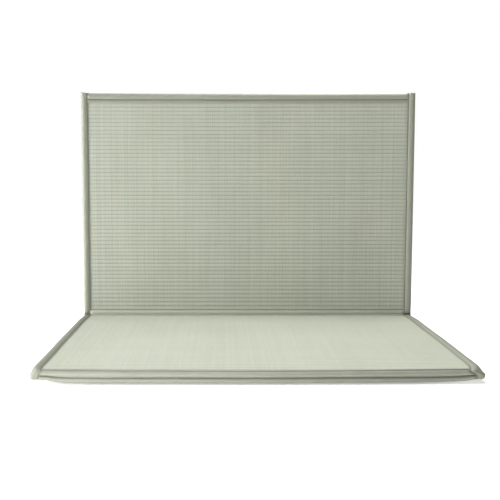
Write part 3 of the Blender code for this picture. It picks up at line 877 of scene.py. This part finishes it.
FRONT_A = [0, 2, 4, 6, 8.5, 12, 17, 24, 32, 40, 46, 51, 55, 59, 62, 64.5, 67, 70, 74, 80, 88, 97]
FRONT_R = [-5.0, -4.6, -3.2, -1.3, 0.2, 1.4, 2.3, 2.8, 2.9, 2.7, 2.3, 1.6, 0.7, -0.4, -1.0, -1.1, -0.6, 0.5, 1.15, 1.25, 1.2, 1.1]
REAR_D = [0.0, 1.2, 2.6, 4.2, 6.5, 10.0, 12.8, 15.2, 17.0, 18.4, 19.4, 20.3, 21.2, 22.0, 22.8, 24.2]
REAR_R = [-1.0, -0.8, -0.2, 0.6, 1.5, 2.2, 2.5, 2.2, 1.3, 0.2, -0.7, -0.8, 0.0, 0.9, 1.2, 1.1]


def hinge_rows(front):
    if front:
        a = np.concatenate([np.arange(-90, 91, 2.5), np.arange(-12.5, 13, 1.25), np.arange(52.5, 73, 1.25)])
        s = np.concatenate(
            [[s_lower(FRONT_LIP), s_lower(FRONT_LIP) + 0.2], s_fold(np.unique(a)),
             [s_seat(FRONT_LIP) - 0.9, s_seat(FRONT_LIP) - 0.2, s_seat(FRONT_LIP)]]
        )
        return np.unique(np.round(s, 4))
    mid = (S_BEND + S_UP) / 2
    half = LEN_BEND / 2 + REAR_LIP
    return np.concatenate(
        [[mid - half, mid - half + 0.2], spaced(mid - half + 0.7, mid + half - 0.7, 0.62),
         [mid + half - 0.2, mid + half]]
    )


def hinge_strip(name, front, seed, node):
    s = hinge_rows(front)
    x = bar_columns()
    X, S = np.meshgrid(x, s, indexing="ij")
    if front:
        a = fold_angle(S)
        rise = soften(FRONT_A, FRONT_R, np.abs(a), 1.6)
        press = np.where(a < 0, ease((a + 76.0) / 40.0), 1.0)
        along = a / 12.0
        valley = np.exp(-((a / 8.0) ** 2))
        from_seam = (np.abs(a) - 64.5) * 0.25
        from_seam = np.sign(from_seam + 1e-6) * np.maximum(np.abs(from_seam), 0.9)
    else:
        mid = (S_BEND + S_UP) / 2
        d = np.abs(S - mid)
        rise = soften(REAR_D, REAR_R, d, 0.7)
        press = np.where(S < mid, 0.5, 1.0)
        along = (S - mid) / 3.0
        valley = np.exp(-((d / 2.4) ** 2))
        from_seam = d - 20.0
    swell = 0.26 * noise(X / 34.0, along, seed) + 0.16 * noise(X / 10.0, along, seed + 1)
    body = np.clip(rise / 2.0, 0.0, 1.2)
    rise = rise + swell * body + 0.35 * valley * noise(X / 22.0, 0 * S, seed + 2)
    rise = np.where(rise > 0, rise * press, rise)
    if front:
        rise = np.where(a < -60.0, rise - 0.3 * ease((-60.0 - a) / 10.0), rise)
    dive = ease((np.abs(X) - (WIDTH / 2 - lip_at(X, S) - 3.0)) / 5.0)
    rise = np.where(rise > -0.8, rise - dive * (1.2 + np.maximum(rise - 1.2, 0.0)), rise)
    ends = (S <= s[0] + 0.05) | (S >= s[-1] - 0.05)
    n = HALF_T + rise - 0.5 * ends * press
    outer = world(X, S, n)
    pick = np.unique(np.concatenate([np.arange(0, len(s), 3), [len(s) - 1]]))
    inner = world(X[:, pick], S[:, pick], n[:, pick] - 1.1)
    arc = np.concatenate(
        [[0.0], np.cumsum(np.linalg.norm(np.diff(outer[len(x) // 2], axis=0), axis=1))]
    )
    uv = np.stack([np.broadcast_to(arc, X.shape), X * 0.001], -1)
    if front:
        # painted shade at the strip's right end beside the side tape: the Seam map puts it near the sewn line, so
        # the seam's painted shade darkens it
        left_over = np.maximum(WIDTH / 2 - lip_at(X, S) - X, 0.0)
        from_seam = np.sign(from_seam) * np.minimum(np.abs(from_seam), 0.4 + 0.3 * left_over)
    sewn = np.stack([from_seam, X], -1) * 0.001
    cloth = strip_mat if front else bend_mat
    ob = shell(name, outer, inner, uv, uv[:, pick], cloth, (sewn, sewn[:, pick]))
    return own(ob, "binding_cloth", node)


hinge_front = hinge_strip("hinge_tape_front", True, 131, "hinge_front")
hinge_rear = hinge_strip("hinge_tape_rear", False, 151, "hinge_rear")


# ---------------------------------------------------------------- padded panels
PAD_IN = 1.4


def pad_edge(d):
    t = np.clip((SIDE_EDGE - d) / (SIDE_EDGE - PAD_IN), 0.0, 0.97)
    return np.where(d >= SIDE_EDGE, 1.0, np.sqrt(1.0 - t**2))


def padded_panel(name, s0, s1, bound, seed, node):
    """Padding in its backing cloth from s0 to s1; bound is the station of the bound end, or None."""
    extra = [S_FOLD, S_SEAT, S_BEND, S_UP]
    rows = [spaced(s0, s1, 12.0, extra)]
    for a, b, step in ((S_FOLD, S_SEAT, 1.2), (S_BEND, S_UP, 1.2)):
        lo, hi = max(a, s0), min(b, s1)
        if hi > lo:
            rows.append(spaced(lo, hi, step))
    for end in (s0, s1):
        rows.append(end + np.sign((s0 + s1) / 2 - end) * np.array([0.0, 0.3, 0.8, 1.6, 2.8, 4.2, 6.0, 8.0, 30.0]))
    s = np.unique(np.round(np.clip(np.concatenate(rows), s0, s1), 3))
    u = np.array([1.6, 1.9, 2.5, 3.5, 5.0, 6.5, 8.0, 12.5, 17.0, 21.0, 24.0, 26.0, 30.0])
    mid = np.linspace(30.0, WIDTH - 30.0, 61)[1:-1]
    x = np.concatenate([u, mid, WIDTH - u[::-1]]) - WIDTH / 2
    S, X = np.meshgrid(s, x, indexing="ij")
    side = WIDTH / 2 - np.abs(X)
    end = np.full(S.shape, 999.0) if bound is None else np.abs(S - bound)
    q = back_proud(S)
    under = np.maximum(1.0 - ease((side - 23.0) / 3.0), 1.0 - ease((end - 27.5) / 3.0))
    taut = 0.9 * noise(X / 120.0, S / 140.0, seed) + 0.35 * noise(X / 33.0, S / 41.0, seed + 1)
    n = -HALF_T + lift(S) + 1.2 * under - q * (0.25 + 0.35 * taut) * (1.0 - under)
    # a sewn crease where the two panels meet at the outside of the bend
    d = np.abs(S - (S_BEND + S_UP) / 2)
    n = n + 1.6 * np.exp(-((d / 1.3) ** 2)) * (1.0 - under)
    n = n * pad_edge(side) * pad_edge(end)
    outer = world(X, S, n)
    # the rush side, hidden by the rush and tapes
    xi = np.array([1.9, 4.0, 8.0, 14.0, 14.8, 26.0])
    xi = np.concatenate([xi, [WIDTH / 2], WIDTH - xi[::-1]]) - WIDTH / 2
    SI, XI = np.meshgrid(s, xi, indexing="ij")
    si = WIDTH / 2 - np.abs(XI)
    ei = np.full(SI.shape, 999.0) if bound is None else np.abs(SI - bound)
    top = np.where(si < 14.5, HALF_T + PUFF * proud(SI) - 1.6, HALF_T - RUSH - 1.1)
    fold = (SI > S_FOLD - 20) & (SI < S_SEAT + 20) | (SI > S_BEND - 20) & (SI < S_UP + 20)
    top = np.where(fold, HALF_T - 3.6, top)
    groove = np.exp(-((fold_angle(SI) / 14.0) ** 2)) * 3.0
    groove = groove + np.exp(-(((bend_angle(SI) - 45.0) / 30.0) ** 2)) * 3.2
    top = (top - groove) * pad_edge(si) * pad_edge(ei)
    inner = world(XI, SI, top)
    uv = np.stack([X, S], -1) * 0.001
    uvi = np.stack([XI, SI], -1) * 0.001
    ob = shell(name, outer, inner, uv, uvi, back_mat)
    own(ob, "backing_cloth", node)
    return ob


mid_fold = S_FOLD + LEN_FOLD / 2
mid_bend = (S_BEND + S_UP) / 2
pad_low = padded_panel("pad_lower", PAD_IN + 0.2, mid_fold - 0.5, 0.0, 7, "panel_lower")
pad_seat = padded_panel("pad_seat", mid_fold + 0.5, mid_bend - 0.12, None, 8, "panel_seat")
pad_up = padded_panel("pad_upright", mid_bend + 0.12, S_TOP - PAD_IN - 0.2, S_TOP, 9, "panel_upright")

# ---------------------------------------------------------------- camera
CAMERA_AT = Vector((-0.0793, -1.5870 + 0.0011 - BACK_Y / 2000, 0.461))
cam_data = bpy.data.cameras.new("camera")
cam_data.sensor_fit = "HORIZONTAL"
cam_data.sensor_width = 36.0
cam_data.lens = 53.73
cam_data.shift_x = 0.0568
cam_data.shift_y = -0.0376
cam_data.dof.use_dof = False
cam = bpy.data.objects.new("camera", cam_data)
cam.location = CAMERA_AT
cam.rotation_euler = Euler((math.radians(90.0 - 4.6), 0.0, 0.0))
bpy.context.scene.collection.objects.link(cam)
bpy.context.scene.camera = cam


# ---------------------------------------------------------------- studio
def floor():
    me = bpy.data.meshes.new("floor")
    r = 9.0
    me.from_pydata([(-r, -r, 0), (r, -r, 0), (r, r, 0), (-r, r, 0)], [], [(0, 1, 2, 3)])
    k = Nodes("floor_paint_and_glow", (0.9, 0.9, 0.9), 0.9)
    t = k.t.nodes.new("ShaderNodeTexCoord")
    grain = k.noise(t.outputs["Object"], 3.0, 2.0)
    k.bsdf.inputs["Specular IOR Level"].default_value = 0.1
    k.bsdf.inputs["Emission Color"].default_value = (1.0, 1.0, 1.0, 1.0)
    far = k.t.nodes.new("ShaderNodeVectorMath")
    far.operation = "LENGTH"
    k.t.links.new(t.outputs["Object"], far.inputs[0])
    # painted light: the floor glows, 0.26 near the mat, 0.5 in a ring through the mat's corners, where it washes
    # out their contact shadows, and up to 0.9 far off, where it keeps the background white
    k.t.links.new(
        k.math(
            "MAXIMUM",
            k.math(
                "MINIMUM",
                k.ramp(far.outputs["Value"], 0.46, 0.58, 0.26, 0.50),
                k.ramp(far.outputs["Value"], 0.66, 0.95, 0.50, 0.26),
            ),
            k.ramp(far.outputs["Value"], 0.8, 2.2, 0.26, 0.9),
        ),
        k.bsdf.inputs["Emission Strength"],
    )
    k.done(k.shade((0.90, 0.90, 0.895), k.ramp(grain, 0.0, 1.0, 0.995, 1.0)))
    me.materials.append(k.m)
    ob = bpy.data.objects.new("floor", me)
    ob.location.z = -0.0006
    bpy.context.scene.collection.objects.link(ob)


floor()


def area_light(name, at, look, size, power):
    data = bpy.data.lights.new(name, "AREA")
    data.shape = "DISK"
    data.size = size
    data.energy = power
    ob = bpy.data.objects.new(name, data)
    at, look = Vector(at), Vector(look)
    ob.location = at
    ob.rotation_euler = (look - at).to_track_quat("-Z", "Y").to_euler()
    bpy.context.scene.collection.objects.link(ob)
    return ob


area_light("key", (-4.0, 0.2, 1.6), (0.0, 0.1, 0.2), 1.2, 86.0)
area_light("key_low", (-2.5, -0.2, 0.25), (0.0, 0.3, 0.1), 0.5, 64.0)
area_light("key_far", (-3.0, -4.0, 1.0), (0.0, 0.1, 0.2), 1.2, 22.0)
area_light("front_low", (-0.5, -1.2, 0.15), (0.0, 0.2, 0.1), 0.3, 9.5)
area_light("top", (-0.3, 0.2, 2.6), (0.0, -0.1, 0.0), 1.0, 31.0)
area_light("top_right", (0.42, 0.45, 1.25), (0.3, -0.1, 0.0), 0.8, 13.5)
area_light("top_back", (0.0, 0.75, 1.3), (0.0, -0.1, 0.0), 0.8, 4.0)

world_data = bpy.data.worlds.new("studio")
bpy.context.scene.world = world_data
world_data.use_nodes = True
back_node = world_data.node_tree.nodes["Background"]
back_node.inputs["Color"].default_value = (1.0, 1.0, 1.0, 1.0)
sky = world_data.node_tree


def sky_math(op, a, b):
    n = sky.nodes.new("ShaderNodeMath")
    n.operation = op
    for i, v in enumerate((a, b)):
        if isinstance(v, bpy.types.NodeSocket):
            sky.links.new(v, n.inputs[i])
        else:
            n.inputs[i].default_value = v
    return n.outputs[0]


# soft light from behind and a little from above, and a plain white background
toward = sky.nodes.new("ShaderNodeTexCoord")
apart = sky.nodes.new("ShaderNodeSeparateXYZ")
sky.links.new(toward.outputs["Generated"], apart.inputs[0])
from_back = sky_math("MAXIMUM", sky_math("MULTIPLY", apart.outputs[1], 0.37), 0.0)
light = sky_math("ADD", from_back, 0.01)
seen = sky.nodes.new("ShaderNodeLightPath")
level = sky.nodes.new("ShaderNodeMapRange")
sky.links.new(seen.outputs["Is Camera Ray"], level.inputs["Value"])
sky.links.new(light, level.inputs["To Min"])
level.inputs["To Max"].default_value = 1.0
sky.links.new(level.outputs[0], back_node.inputs["Strength"])
bpy.context.scene.view_settings.view_transform = "Standard"
bpy.context.scene.view_settings.look = "None"
bpy.context.scene.view_settings.exposure = 0.0
bpy.context.scene.view_settings.gamma = 1.0
